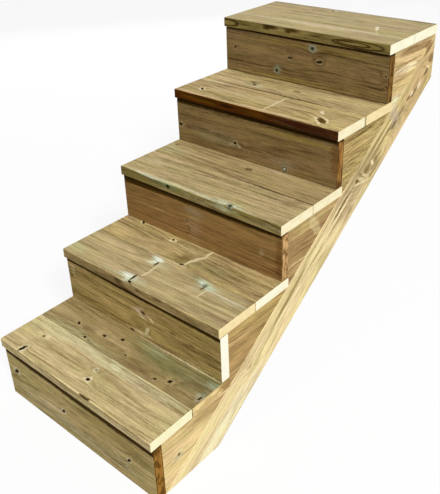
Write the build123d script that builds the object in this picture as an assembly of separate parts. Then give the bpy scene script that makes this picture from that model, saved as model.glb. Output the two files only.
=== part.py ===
from build123d import *

import os
from math import hypot

# Straight flight of wooden deck stairs. Millimetres, +X across the flight, +Y towards the deck,
# +Z up. The origin is in the middle of the back edge of the top step, on the plane where the
# flight bears on the deck's rim.

# Driving dimensions
STEP_COUNT = 5
FLIGHT_WIDTH = 620.0  # length of a tread board

TREAD_BOARD_WIDTH = 146.0
TREAD_THICKNESS = 30.0
TREAD_BOARD_GAP = 1.0  # joint between the two boards of a step
NOSING_OVERHANG = 7.0  # step in front of its riser
SIDE_OVERHANG = 2.0  # step past the risers and stringers, at each side

RISER_BOARD_WIDTH = 145.0
RISER_THICKNESS = 30.0
RISER_TOP_GAP = 3.0  # between a riser and the step over it

PLANK_WIDTH = 117.0  # stringer plank, square to its slope
STRINGER_THICKNESS = 45.0

MILLED_ARRIS = 2.0  # rounding along the planed edges of a board
SAWN_ARRIS = 0.8  # chamfer round the sawn ends and the step blocks

# Worked out from the driving dimensions
STEP_DEPTH = 2 * TREAD_BOARD_WIDTH + TREAD_BOARD_GAP
GOING = STEP_DEPTH - NOSING_OVERHANG - RISER_THICKNESS
RISE = RISER_BOARD_WIDTH + RISER_TOP_GAP + TREAD_THICKNESS
CARRIED_WIDTH = FLIGHT_WIDTH - 2 * SIDE_OVERHANG
SLOPE_LENGTH = hypot(GOING, RISE)


def step_top(step: int) -> float:
    """Height of the walking surface of a step, counted from 1 at the bottom."""
    return TREAD_THICKNESS / 2 - (STEP_COUNT - step) * RISE


def step_back(step: int) -> float:
    """Back edge of a step, in line with the back of the riser that stands on it."""
    return -(STEP_COUNT - step) * GOING


GROUND = step_top(0) - TREAD_THICKNESS


def lengthwise_board(length: float, depth: float, height: float) -> Part:
    """A planed board across the flight, its lowest, frontmost line at the origin."""
    board = Box(length, depth, height, align=(Align.CENTER, Align.MIN, Align.MIN))
    board = fillet(board.edges().filter_by(Axis.X), MILLED_ARRIS)
    sawn_ends = board.faces().filter_by(Axis.X)
    return chamfer(sawn_ends.edges(), SAWN_ARRIS)


def tread_boards(step: int) -> dict[str, Part]:
    """The front and back board of one step."""
    board = lengthwise_board(FLIGHT_WIDTH, TREAD_BOARD_WIDTH, TREAD_THICKNESS)
    underside = step_top(step) - TREAD_THICKNESS
    front_start = step_back(step) - STEP_DEPTH
    back_start = step_back(step) - TREAD_BOARD_WIDTH
    return {
        f"tread_{step}_front_board": Pos(0, front_start, underside) * board,
        f"tread_{step}_back_board": Pos(0, back_start, underside) * board,
    }


def riser(step: int) -> Part:
    """The board under the nosing of one step, standing on the step below or on the ground."""
    foot = GROUND if step == 1 else step_top(step - 1)
    head = step_top(step) - TREAD_THICKNESS - RISER_TOP_GAP
    board = lengthwise_board(CARRIED_WIDTH, RISER_THICKNESS, head - foot)
    return Pos(0, step_back(step - 1) - RISER_THICKNESS, foot) * board


def stringer_solid(outline: list[tuple[float, float]], side: int) -> Part:
    """A piece of a stringer, from its (Y, Z) outline. side is -1 for the left and 1 for the right."""
    profile = make_face(Polyline([(0, y, z) for y, z in outline], close=True))
    centre = side * (CARRIED_WIDTH - STRINGER_THICKNESS) / 2
    return Pos(centre, 0, 0) * extrude(profile, STRINGER_THICKNESS / 2, dir=(1, 0, 0), both=True)


def stringer_plank(side: int) -> Part:
    """The sloping plank: sawn level at the ground and plumb where it meets the deck."""
    foot_length = PLANK_WIDTH * SLOPE_LENGTH / RISE
    plumb_height = PLANK_WIDTH * SLOPE_LENGTH / GOING
    head = step_top(STEP_COUNT) - TREAD_THICKNESS
    outline = [
        (step_back(0), GROUND),
        (step_back(STEP_COUNT), head),
        (step_back(STEP_COUNT), head - plumb_height),
        (step_back(0) + foot_length, GROUND),
    ]
    plank = stringer_solid(outline, side)
    slope = Axis((0, 0, 0), (0, GOING, RISE))
    return fillet(plank.edges().filter_by(slope), MILLED_ARRIS)


def step_block(step: int, side: int) -> Part:
    """The triangular block on the plank that carries one step and backs its riser."""
    underside = step_top(step) - TREAD_THICKNESS
    outline = [
        (step_back(step - 1), underside - RISE),
        (step_back(step - 1), underside),
        (step_back(step), underside),
    ]
    block = stringer_solid(outline, side)
    cheeks = block.faces().filter_by(Axis.X)
    return chamfer(cheeks.edges(), SAWN_ARRIS)


def flight() -> dict[str, Part]:
    """Every piece of the stairs, by its name."""
    pieces: dict[str, Part] = {}
    steps = range(1, STEP_COUNT + 1)
    for step in steps:
        pieces |= tread_boards(step)
        pieces[f"riser_{step}"] = riser(step)
    for side_name, side in (("left", -1), ("right", 1)):
        pieces[f"{side_name}_stringer_plank"] = stringer_plank(side)
        for step in steps:
            pieces[f"{side_name}_step_block_{step}"] = step_block(step, side)
    return pieces


os.makedirs("parts", exist_ok=True)
for name, piece in flight().items():
    export_step(piece, f"parts/{name}.step")
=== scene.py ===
"""Wooden deck stairs: the boards' surfaces and finishes, the floor, the lamps and the camera."""

import logging
import math
from collections.abc import Mapping, Sequence
from dataclasses import dataclass, field, replace
from enum import Enum
from functools import cached_property
from typing import Any, ClassVar, Union

import bpy
import numpy as np
from mathutils import Matrix, Vector


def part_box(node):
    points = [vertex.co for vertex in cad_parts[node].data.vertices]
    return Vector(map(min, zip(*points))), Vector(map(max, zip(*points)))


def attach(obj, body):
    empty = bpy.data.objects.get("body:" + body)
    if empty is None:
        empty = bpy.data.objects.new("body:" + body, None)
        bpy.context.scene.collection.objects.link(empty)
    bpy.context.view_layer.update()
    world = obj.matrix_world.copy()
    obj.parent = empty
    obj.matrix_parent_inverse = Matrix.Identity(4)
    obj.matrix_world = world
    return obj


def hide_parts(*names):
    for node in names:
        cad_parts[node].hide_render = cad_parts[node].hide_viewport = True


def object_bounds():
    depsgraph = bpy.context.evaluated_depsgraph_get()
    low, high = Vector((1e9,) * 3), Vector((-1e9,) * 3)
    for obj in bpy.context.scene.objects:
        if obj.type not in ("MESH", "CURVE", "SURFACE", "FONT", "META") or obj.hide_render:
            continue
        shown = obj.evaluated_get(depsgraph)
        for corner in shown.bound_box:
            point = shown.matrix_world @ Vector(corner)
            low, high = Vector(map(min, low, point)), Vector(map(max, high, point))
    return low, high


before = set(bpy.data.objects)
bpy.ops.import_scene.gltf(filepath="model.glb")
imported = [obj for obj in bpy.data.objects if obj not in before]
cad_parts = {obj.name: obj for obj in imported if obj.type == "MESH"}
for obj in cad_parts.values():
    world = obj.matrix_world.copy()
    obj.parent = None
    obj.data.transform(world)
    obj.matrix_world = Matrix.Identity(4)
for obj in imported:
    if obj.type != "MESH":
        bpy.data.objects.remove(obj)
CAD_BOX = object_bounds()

log = logging.getLogger("deck_stairs")

Colour = tuple[float, float, float]  # red, green and blue in percent
Value = Union["Link", float]
Mark = Union["Knot", "Patch"]

STEPS = range(1, 6)
MILLIMETRE = 0.001
WHITE = (100, 100, 100)


def mm(length: float) -> float:
    """A length in millimetres as metres."""
    return length * MILLIMETRE


def shares(colour: Colour) -> Colour:
    """A colour in percent as parts of one."""
    return tuple(part / 100.0 for part in colour)


# ---------------------------------------------------------------- shader sums


class Link:
    """A shader value that takes part in Python sums, one Math node for each."""

    def __init__(self, shader: "Shader", socket: bpy.types.NodeSocket) -> None:
        """Keeps the material's shader and the output socket."""
        self.shader = shader
        self.socket = socket

    def __add__(self, other: Value) -> "Link":
        """self + other."""
        return self.shader.math("ADD", self, other)

    def __sub__(self, other: Value) -> "Link":
        """self - other."""
        return self.shader.math("SUBTRACT", self, other)

    def __rsub__(self, other: Value) -> "Link":
        """other - self."""
        return self.shader.math("SUBTRACT", other, self)

    def __mul__(self, other: Value) -> "Link":
        """self * other."""
        return self.shader.math("MULTIPLY", self, other)

    def __truediv__(self, other: Value) -> "Link":
        """self / other."""
        return self.shader.math("DIVIDE", self, other)

    __radd__ = __add__
    __rmul__ = __mul__


class Shader:
    """The node tree of one material or world, built from Python expressions."""

    def __init__(self, name: str, world: bpy.types.World | None = None) -> None:
        """Empties the tree of a world, or that of a new material.

        Args:
            name: the new material's name.
            world: the world to use instead of a material.
        """
        self.material = world or bpy.data.materials.new(name)
        self.material.use_nodes = True
        self.tree = self.material.node_tree
        self.tree.nodes.clear()

    def node(
        self,
        kind: str,
        settings: Mapping[str, Any] | None = None,
        inputs: Mapping[int | str, Any] | None = None,
        output: int | str | None = 0,
    ) -> Link | None:
        """Adds any node.

        Args:
            kind: Blender's name for the node's type.
            settings: properties to set first; "stops" holds a ramp's (place, grey level) pairs.
            inputs: a number, a tuple or a Link for each socket, by name or number.
            output: the socket to hand back, or None for a node that has none.

        Returns:
            The node's output as a Link.
        """
        made = self.tree.nodes.new(kind)
        for name, setting in (settings or {}).items():
            if name == "stops":
                self._set_stops(made.color_ramp, setting)
            else:
                setattr(made, name, setting)
        for key, value in (inputs or {}).items():
            if isinstance(value, Link):
                self.tree.links.new(value.socket, made.inputs[key])
            else:
                made.inputs[key].default_value = value
        return None if output is None else Link(self, made.outputs[output])

    @staticmethod
    def _set_stops(ramp: bpy.types.ColorRamp, stops: Sequence[tuple[float, float]]) -> None:
        """Fills a ramp with smoothly joined stops.

        Args:
            ramp: the ramp of a new node.
            stops: each stop's place and grey level.
        """
        ramp.interpolation = "EASE"
        while len(ramp.elements) < len(stops):
            ramp.elements.new(1.0)
        for element, (place, level) in zip(ramp.elements, stops):
            element.position = place
            element.color = (level, level, level, 1.0)

    def math(self, operation: str, *values: Value) -> Link:
        """One Math node on its values."""
        return self.node("ShaderNodeMath", {"operation": operation}, dict(enumerate(values)))

    def vector(self, operation: str, *values: Any) -> Link:
        """One Vector Math node on its values.

        Args:
            operation: Blender's name for it.
            values: vectors, as tuples or Links.

        Returns:
            The number that LENGTH gives, or the vector that the rest give.
        """
        output = "Value" if operation == "LENGTH" else "Vector"
        inputs = dict(enumerate(values))
        return self.node("ShaderNodeVectorMath", {"operation": operation}, inputs, output)

    def join(self, x: Value, y: Value, z: Value = 0.0) -> Link:
        """A vector from its three numbers."""
        return self.node("ShaderNodeCombineXYZ", {}, {"X": x, "Y": y, "Z": z})

    def split(self, vector: Link) -> list[Link]:
        """A vector's three numbers."""
        outputs = self.node("ShaderNodeSeparateXYZ", {}, {0: vector}).socket.node.outputs
        return [Link(self, output) for output in outputs]

    def between(self, value: Value, zero_at: float, one_at: float) -> Link:
        """A smooth mask.

        Args:
            value: what is looked at.
            zero_at: where the mask is 0, and past it.
            one_at: where the mask is 1, and past it; it may be the lower of the two.

        Returns:
            The mask.
        """
        low, high = sorted((zero_at, one_at))
        start, end = (0.0, 1.0) if zero_at < one_at else (1.0, 0.0)
        inputs = {"Value": value, "From Min": low, "From Max": high, "To Min": start, "To Max": end}
        return self.node("ShaderNodeMapRange", {"interpolation_type": "SMOOTHSTEP"}, inputs)

    def ramp(self, value: Value, zero_at: float, one_at: float) -> Link:
        """A straight ramp that is 0 at zero_at, 1 at one_at, and held past both."""
        inputs = {"Value": value, "From Min": zero_at, "From Max": one_at}
        return self.node("ShaderNodeMapRange", {}, inputs)

    def mix(self, factor: Value, first: Any, second: Any, blend: str = "MIX") -> Link:
        """first, turned into second as factor goes from 0 to 1; either may be a plain colour."""
        inputs = {0: factor, 6: self._paint(first), 7: self._paint(second)}
        return self.node("ShaderNodeMix", {"data_type": "RGBA", "blend_type": blend}, inputs, 2)

    def noise(
        self,
        place: Link,
        stretch: Sequence[float],
        detail: float = 2.0,
        seed: float = 0.0,
        output: str = "Fac",
    ) -> Link:
        """Noise from 0 to 1, about 0.5 in the mean.

        Args:
            place: position in metres.
            stretch: how many blotches there are to the metre along each axis.
            detail: how many finer layers are added.
            seed: moves the pattern, so that no two pieces share it.
            output: "Fac" for one number or "Color" for three.

        Returns:
            The noise.
        """
        moved = self.vector("MULTIPLY_ADD", place, tuple(stretch), (seed, seed * 0.7, -seed))
        inputs = {"Vector": moved, "Scale": 1.0, "Detail": detail}
        return self.node("ShaderNodeTexNoise", {}, inputs, output)

    def finish(self, surface: Link) -> None:
        """Makes surface what the material or world shows."""
        kind = "World" if isinstance(self.material, bpy.types.World) else "Material"
        self.node(f"ShaderNodeOutput{kind}", {}, {"Surface": surface}, None)

    @staticmethod
    def _paint(colour: Any) -> Any:
        """A plain colour as parts of one with its alpha, or the Link unchanged."""
        return colour if isinstance(colour, Link) else (*shares(colour), 1.0)


# ---------------------------------------------------------------- what timber looks like


@dataclass(frozen=True)
class KnotPaint:
    """The colours of one kind of knot, how far its halo reaches in radii, and how strong it is."""

    core: Colour
    rim: Colour
    halo: Colour
    reach: float
    strength: float


class KnotKind(Enum):
    """The kinds of knot in treated pine."""

    DEAD = KnotPaint((2, 1.2, 0.3), (7, 4.2, 1.2), (60, 50, 27), 2.1, 0.35)
    RINGED = KnotPaint((1.6, 0.6, 0), (8, 4.6, 1), (84, 74, 48), 2.5, 0.85)
    RED = KnotPaint((9.5, 5.2, 0.8), (19, 11.5, 3), (84, 71, 43), 2.3, 1)
    RUSSET = KnotPaint((10, 5, 1.6), (20, 11.5, 4.5), (42, 30, 15), 1.9, 0.6)
    WASHED = KnotPaint((25, 23, 11), (50, 43, 22), (78, 71, 44), 2.2, 0.75)
    EYE = KnotPaint((46, 44, 33), (3.5, 3, 1.2), (26, 23, 14), 2.2, 0.8)
    GREY = KnotPaint((3, 3, 1.2), (10, 10, 5), (27, 28, 18.5), 2.8, 0.75)
    PALE = KnotPaint((36, 31, 16), (58, 48, 27), (66, 55, 31), 1.8, 0.6)
    SPIKE = KnotPaint((70, 59, 34), (66, 55, 31), (56, 45, 23), 1.7, 0.5)
    SHADE = KnotPaint((15, 10, 3.5), (19, 13, 5), (26, 19, 8), 1.8, 0.6)
    SLIT = KnotPaint((3, 2, 0.6), (10, 6.5, 2), (84, 76, 50), 2.3, 0.95)


@dataclass(frozen=True)
class Knot:
    """A knot, placed in millimetres from the middle of its piece's seen face."""

    along: float
    across: float
    radius: float  # half its width
    kind: KnotKind = KnotKind.DEAD
    stretch: float = 1.3  # its length over its width
    turn: float = 0.0  # degrees from the grain to its long side

    below: ClassVar[float] = 0.0
    LONGEST_ROUND: ClassVar[float] = 6.0
    HEIGHT: ClassVar[float] = 5.0  # in radii
    BEND: ClassVar[float] = 1.2  # how far it pushes the grain aside, in radii

    @property
    def height(self) -> float:
        """How far it reaches into the wood and out again."""
        return self.radius * self.HEIGHT

    @property
    def bends_grain(self) -> bool:
        """Whether the grain flows round it, as it does round all but long spikes."""
        return self.stretch < self.LONGEST_ROUND


@dataclass(frozen=True)
class Patch:
    """An oval part of a piece, in millimetres from the middle of its seen face."""

    along: float
    across: float
    length: float
    width: float
    turn: float = field(default=0.0, kw_only=True)  # degrees from the grain to its long side
    below: float = field(default=0.0, kw_only=True)  # how far under the face its middle lies
    height: float = field(default=1000.0, kw_only=True)  # through the piece


@dataclass(frozen=True)
class Stain(Patch):
    """A patch of another colour on the faces."""

    colour: Colour
    strength: float = 0.5  # how much of it covers the wood, from 0 to 1
    streaked: float = 1.6  # how far the grain draws its rim out
    soft: float = 0.5  # its rim: 0 is sharp, and 1 starts in the middle


class EndStain(Stain):
    """A patch of another colour on the sawn ends."""


@dataclass(frozen=True)
class Swell(Patch):
    """A place where the rings bulge by some millimetres, which draws ovals and points."""

    bulge: float


@dataclass(frozen=True)
class Growth:
    """How the log grew and was sawn, in millimetres."""

    pith_across: float  # the log's heart, across the face from the middle of the piece
    pith_through: float  # the same, through the piece
    ring: float  # the width of one year's ring
    drift: float  # how far the heart moves across the face in one metre
    cone: float  # how much thinner the log gets in one metre, which draws the pointed figures
    wander: float  # how far the grain strays from straight
    seed: float  # tells apart the noise of each piece


@dataclass(frozen=True)
class Tone:
    """The wood's mean colour, how strongly its grain shows and how warm its dark lines are."""

    base: Colour
    figure: float = 1.0
    warmth: float = 1.0

    GREEN_LOSS: ClassVar[float] = 0.28
    BLUE_LOSS: ClassVar[float] = 0.72

    def shade(self, level: float) -> Colour:
        """What the grain multiplies the base colour by.

        Args:
            level: 1 leaves the base colour as it is.

        Returns:
            The factors in percent; below 1, green and blue are lowered more than red.
        """
        warm = self.warmth * min(level - 1.0, 0.0)
        factors = (1.0, 1.0 + self.GREEN_LOSS * warm, 1.0 + self.BLUE_LOSS * warm)
        return tuple(level * factor * 100.0 for factor in factors)


@dataclass(frozen=True)
class EndGrain:
    """A sawn end: its light and dark wood, how strongly the dark shows, and how dark its rim is."""

    light: Colour
    dark: Colour
    figure: float
    rim: float = 0.1


@dataclass(frozen=True)
class Finish:
    """Everything that makes one piece of timber look as it does."""

    tone: Tone
    growth: Growth
    end: EndGrain
    marks: tuple[Mark, ...]  # each painted over those of its kind before it
    nosing: Tone | None = None  # the tone of its near narrow face, where that differs

    def all_of(self, kind: type) -> list[Any]:
        """Its marks of one kind."""
        return [mark for mark in self.marks if type(mark) is kind]


@dataclass(frozen=True)
class Place:
    """Where a piece lies: its own along, across and through directions, its middle and its size."""

    middle: Vector
    along: Vector  # unit vector along the grain
    across: Vector  # unit vector across the face; along, across and through are right-handed
    size: tuple[float, float, float]  # length, width and thickness in metres
    start_skew: float = 0.0  # how far its start moves along for each unit across
    end_skew: float = 0.0  # the same for its other end
    outward: float = 1.0  # 1 where through points out of its seen face, and -1 where into it

    @property
    def axes(self) -> Matrix:
        """The piece's directions as the columns of a matrix."""
        return Matrix((self.along, self.across, self.along.cross(self.across))).transposed()

    def end_depths(self, along: Link, across: Link) -> tuple[Link, Link]:
        """How far inside each sawn end a point lies, in metres square to that end.

        Args:
            along: the point's place along the piece.
            across: the point's place across the piece.

        Returns:
            The depth behind the start cut and behind the end cut.
        """
        length, width, _ = self.size
        from_upper_edge = across - width / 2
        start = along - from_upper_edge * self.start_skew + length / 2
        end = from_upper_edge * self.end_skew - along + length / 2
        return start / math.hypot(1.0, self.start_skew), end / math.hypot(1.0, self.end_skew)


@dataclass(frozen=True)
class Waves:
    """Noise that moves or shades the wood."""

    stretch: tuple[float, float, float]  # its blotches to the metre along each axis
    detail: float = 1.0  # how many finer layers it has
    seed: float = 0.0  # keeps its pattern apart from the others of the piece
    amount: float | tuple[float, float, float] = 1.0  # how far its whole range reaches


class TimberShader:
    """The material of one piece: a log's rings cut by the piece's faces, its knots and stains.

    The grain's place is (along, distance from the heart, across), so noise on it follows the rings.
    Masks are pairs: where the mask is 0 and where it is 1.
    """

    LONG_WAVES = Waves((1.7, 7.0, 7.0), 2.0, 0.0, 2.0)  # the amount is in wanders of the log
    SHORT_WAVES = Waves((8.0, 45.0, 45.0), 1.0, 5.0, mm(2.2))
    BANDS = Waves((1.6, 38.0, 12.0), 1.0, 1.0, 0.55)
    STREAKS = Waves((4.0, 120.0, 40.0), 2.0, 2.0, 0.9)
    LINES = Waves((12.0, 330.0, 110.0), 1.0, 3.0, 1.1)
    DASHES = Waves((27.0, 230.0, 230.0), 2.0, 4.0, 1.1)
    SPECKLE = Waves((160.0, 420.0, 420.0), 1.0, 5.0, 0.8)
    THIN_LINES = Waves((1.8, 75.0, 9.0), 1.0, 7.0)
    CASTS = Waves((5.0, 26.0, 26.0), 2.0, 9.0)
    DRAWN_OUT = Waves((4.0, 120.0, 40.0), 1.0, 11.0)
    RAGGED_HALO = Waves((75.0, 120.0, 120.0), 2.0, 21.0, 1.6)
    RAGGED = Waves((75.0, 120.0, 120.0), 2.0, 0.0, (mm(11), mm(7), 0.0))
    BOWED = Waves((14.0, 20.0, 20.0), 2.0, 0.0, (mm(34), mm(14), 0.0))
    END_STREAKS = Waves((0.0, 16.0, 150.0), 2.0)
    END_SMUDGES = Waves((0.0, 34.0, 60.0), 2.0, 2.0)

    SEED_STEP = 3.7
    SUMMER_RAMP = ((0.0, 0.15), (0.2, 0.0), (0.5, 0.15), (0.82, 1.0), (1.0, 0.15))
    GROUP_OF_YEARS = 0.37  # how fast the noise of whole groups runs along the rings
    HARD_GROUP = (0.3, 0.7)
    YEAR_SHARE, GROUP_SHARE = 0.5, 0.6
    SUMMER_WOOD = 0.42
    CROSSING = (0.07, 0.01)  # how near its middle level a noise draws a thin line
    THIN_LINE = 0.32
    MEAN_LOSS = 0.13  # what the summer wood and the thin lines take off in the mean
    DARK_LEVEL, PALE_LEVEL = 0.3, 1.6
    ROSY = (0.36, 0.64)
    GREEN_CAST = (98.5, 101, 95)
    ROSY_CAST = (102, 99, 104)
    PALEST = (95, 93, 90)

    NOSING = (2.6, 0.9)  # in millimetres from the near edge
    BEND_WIDTH, BEND_MARGIN, BEND_LENGTH = 4.0, 8.0, 1.8  # in radii, in millimetres, over its width
    OUTER_RIM = 0.6  # how much of a stain's soft rim lies outside its size
    HALO, KNOT_RIM, KNOT_CORE = (1.05, 0.6), (1.4, 0.9), (1.0, 0.5)

    SAWN_DEPTH = mm(0.35)
    END_STREAKED, END_SMUDGED = (0.48, 0.72), (0.44, 0.62)
    END_RIM = (mm(4.5), mm(1.5))
    ARCS_SHARE, STREAKS_SHARE = 0.3, 0.7

    # paler long edges: wear, and a painted highlight on the arrises
    WEAR_AND_HIGHLIGHT_EDGE = (mm(4.0), mm(1.2))
    WEAR_AND_HIGHLIGHT_PLACES = (0.4, 0.6)
    WEAR_AND_HIGHLIGHT = (130, 127, 120)
    WEAR_AND_HIGHLIGHT_STRENGTH = 0.5
    BUMP = {"Strength": 0.5, "Distance": mm(0.6)}
    ROUGHNESS, ROUGHNESS_RANGE = 0.68, 0.2
    GLOSS = 0.05

    def __init__(self, name: str, finish: Finish, place: Place) -> None:
        """Works out where a point lies on the piece.

        Args:
            name: the material's name.
            finish: the look of the piece.
            place: where the piece lies.
        """
        self.shader = shader = Shader(name)
        self.finish = finish
        self.place = place
        self.seed = finish.growth.seed * self.SEED_STEP
        coordinates = shader.node("ShaderNodeTexCoord", output="Object")
        self.point = self._local(coordinates, tuple(place.middle), tuple(place.axes.to_euler()))
        self.along, self.across, self.through = shader.split(self.point)
        _, width, thickness = place.size
        self.arris_depths = (
            width / 2 - shader.math("ABSOLUTE", self.across),
            thickness / 2 - shader.math("ABSOLUTE", self.through),
        )
        self.ragged_point = self._shaken(self.RAGGED)
        self.bowed_point = self._shaken(self.BOWED)

    def build(self) -> bpy.types.Material:
        """Builds the rest of the nodes.

        Returns:
            The material.
        """
        shader, finish = self.shader, self.finish
        radius = self._radius()
        rings = radius / mm(finish.growth.ring)
        grain = shader.join(self.along, radius, self.across + self.through)
        level = self._grain_level(grain, self._summer_wood(rings))
        streaks = self._noise(grain, self.DRAWN_OUT)
        base = finish.tone.base
        if finish.nosing:
            base = shader.mix(self.on_nosing, base, finish.nosing.base)
        colour = self._stained(base, streaks, finish.all_of(Stain))
        colour = self._knotted(self._grained(colour, level))
        colour = self._wear_and_highlight(colour, streaks)
        end_colour = self._stained(self._end_grain(rings), streaks, finish.all_of(EndStain))
        self._surface(shader.mix(self._end_mask(), colour, end_colour), level)
        return shader.material

    @cached_property
    def on_nosing(self) -> Link:
        """1 on the near narrow face and its upper arris."""
        edge = -self.place.size[1] / 2
        return self.shader.between(self.across, *(edge + mm(inset) for inset in self.NOSING))

    def _noise(self, place: Link, waves: Waves, output: str = "Fac") -> Link:
        """Noise of the piece's own, from 0 to 1; "Color" gives three numbers."""
        return self.shader.noise(place, waves.stretch, waves.detail, self.seed + waves.seed, output)

    def _swing(self, place: Link, waves: Waves) -> Link:
        """Noise about 0, times the waves' amount."""
        return (self._noise(place, waves) - 0.5) * waves.amount

    def _shaken(self, waves: Waves) -> Link:
        """The point moved about along and across by noise."""
        moves = self.shader.vector("SUBTRACT", self._noise(self.point, waves, "Color"), (0.5,) * 3)
        return self.shader.vector("MULTIPLY_ADD", moves, waves.amount, self.point)

    def _local(
        self,
        point: Link,
        location: Sequence[float],
        rotation: Sequence[float],
        scale: Sequence[float] = (1, 1, 1),
    ) -> Link:
        """The point as seen from a moved, turned and scaled frame."""
        inputs = {"Vector": point, "Location": location, "Rotation": rotation, "Scale": scale}
        return self.shader.node("ShaderNodeMapping", {"vector_type": "TEXTURE"}, inputs)

    def _distance(self, point: Link, mark: Mark, length: float, width: float) -> Link:
        """Distance from a mark's middle, 1 on its rim.

        Args:
            point: the place on the piece.
            mark: what gives the middle, the turn and the height.
            length: the whole length to the rim, in millimetres.
            width: the whole width to the rim, in millimetres.

        Returns:
            The distance.
        """
        depth = (self.place.size[2] / 2 - mm(mark.below)) * self.place.outward
        location = (mm(mark.along), mm(mark.across), depth)
        turn = (0.0, 0.0, math.radians(mark.turn))
        scale = (mm(length / 2), mm(width / 2), mm(mark.height / 2))
        return self.shader.vector("LENGTH", self._local(point, location, turn, scale))

    def _mound(self, mark: Mark, length: float, width: float, height: float) -> Link:
        """A bell-shaped rise over a mark: its height times e to the minus squared distance."""
        near = self._distance(self.point, mark, length, width)
        return self.shader.math("EXPONENT", near * near * -1.0) * mm(height)

    def _radius(self) -> Link:
        """Distance from the log's heart, with the grain's waves and its bends round knots.

        Returns:
            The distance in metres.
        """
        shader, growth = self.shader, self.finish.growth
        across = self.across - mm(growth.pith_across) - self.along * mm(growth.drift)
        heart = shader.join(across, self.through - mm(growth.pith_through))
        radius = shader.vector("LENGTH", heart) + self.along * mm(growth.cone)
        radius = radius + self._swing(self.point, self.LONG_WAVES) * mm(growth.wander)
        radius = radius + self._swing(self.point, self.SHORT_WAVES)
        for knot in self.finish.all_of(Knot):
            if knot.bends_grain:
                width = knot.radius * self.BEND_WIDTH + self.BEND_MARGIN
                length = width * self.BEND_LENGTH
                radius = radius + self._mound(knot, length, width, knot.radius * knot.BEND)
        for swell in self.finish.all_of(Swell):
            radius = radius + self._mound(swell, swell.length, swell.width, swell.bulge)
        return radius

    def _summer_wood(self, rings: Link) -> Link:
        """The dark part of each ring; some years and groups of years are darker.

        Args:
            rings: the number of rings from the heart.

        Returns:
            The mask.
        """
        shader = self.shader
        years = {"W": shader.math("FLOOR", rings)}
        groups = {"W": rings * self.GROUP_OF_YEARS + self.seed, "Scale": 1.0}
        flat = {"noise_dimensions": "1D"}
        hard_year = shader.node("ShaderNodeTexWhiteNoise", flat, years, "Value")
        group = shader.node("ShaderNodeTexNoise", flat, groups)
        hard_group = shader.between(group, *self.HARD_GROUP)
        part = {"Fac": shader.math("FRACT", rings)}
        profile = shader.node("ShaderNodeValToRGB", {"stops": self.SUMMER_RAMP}, part)
        return profile * (hard_year * self.YEAR_SHARE + hard_group * self.GROUP_SHARE)

    def _grain_level(self, grain: Link, summer: Link) -> Link:
        """How light the wood is, 1 in the mean.

        Args:
            grain: the place in the grain.
            summer: the summer wood's mask.

        Returns:
            The level: noises of falling size about 1, less the summer wood and long thin lines.
        """
        shader = self.shader
        tone, nosing = self.finish.tone, self.finish.nosing
        crossing = shader.math("ABSOLUTE", self._noise(grain, self.THIN_LINES) - 0.5)
        swings = [self._swing(grain, waves) for waves in (self.BANDS, self.STREAKS, self.LINES)]
        swings += [self._swing(self.point, waves) for waves in (self.DASHES, self.SPECKLE)]
        change = sum(swings) - summer * self.SUMMER_WOOD
        change = change - shader.between(crossing, *self.CROSSING) * self.THIN_LINE
        change = change + self.MEAN_LOSS
        figure = tone.figure
        if nosing:
            figure = self.on_nosing * (nosing.figure - figure) + figure
        return change * figure + 1.0

    def _grained(self, colour: Any, level: Link) -> Link:
        """The colour under the grain, warmer and greener in wide patches.

        Args:
            colour: the wood without its grain.
            level: how light the grain makes it.

        Returns:
            The colour, no paler than the palest wood.
        """
        shader, shade = self.shader, self.finish.tone.shade
        darker = shader.ramp(level, 1.0, self.DARK_LEVEL)
        paler = shader.ramp(level, 1.0, self.PALE_LEVEL)
        factor = shader.mix(darker, shade(1.0), shade(self.DARK_LEVEL))
        factor = shader.mix(paler, factor, shade(self.PALE_LEVEL))
        rosy = shader.between(self._noise(self.point, self.CASTS), *self.ROSY)
        cast = shader.mix(rosy, self.GREEN_CAST, self.ROSY_CAST)
        factor = shader.mix(1.0, factor, cast, "MULTIPLY")
        grained = shader.mix(1.0, colour, factor, "MULTIPLY")
        return shader.vector("MINIMUM", grained, shares(self.PALEST))

    def _stained(self, colour: Any, streaks: Link, stains: Sequence[Stain]) -> Any:
        """The colour under soft patches.

        Args:
            colour: the colour without them.
            streaks: noise in the grain that draws the patches out.
            stains: the patches.

        Returns:
            The colour.
        """
        shader = self.shader
        for stain in stains:
            near = self._distance(self.ragged_point, stain, stain.length, stain.width)
            distance = near + (streaks - 0.5) * stain.streaked
            rim = (1.0 + stain.soft * self.OUTER_RIM, 1.0 - stain.soft)
            cover = shader.between(distance, *rim)
            colour = shader.mix(cover * stain.strength, colour, stain.colour)
        return colour

    def _knotted(self, colour: Link) -> Link:
        """The colour under each knot's ragged halo, its rim and its core.

        Args:
            colour: the colour of the grain.

        Returns:
            The colour with knots.
        """
        shader = self.shader
        ragged = self._swing(self.point, self.RAGGED_HALO)
        for knot in self.finish.all_of(Knot):
            paint = knot.kind.value
            point = self.ragged_point if knot.bends_grain else self.bowed_point
            width = knot.radius * 2.0
            margin = width * (paint.reach - 1.0)
            outer = self._distance(point, knot, width * knot.stretch + margin, width + margin)
            halo = shader.between(outer + ragged, *self.HALO) * paint.strength
            inner = self._distance(point, knot, width * knot.stretch, width)
            colour = shader.mix(halo, colour, paint.halo)
            colour = shader.mix(shader.between(inner, *self.KNOT_RIM), colour, paint.rim)
            colour = shader.mix(shader.between(inner, *self.KNOT_CORE), colour, paint.core)
        return colour

    def _end_mask(self) -> Link:
        """1 on the sawn ends of the piece and 0 on its faces."""
        nearest = self.shader.math("MINIMUM", *self.place.end_depths(self.along, self.across))
        return self.shader.between(nearest, self.SAWN_DEPTH * 2.0, self.SAWN_DEPTH)

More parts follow.
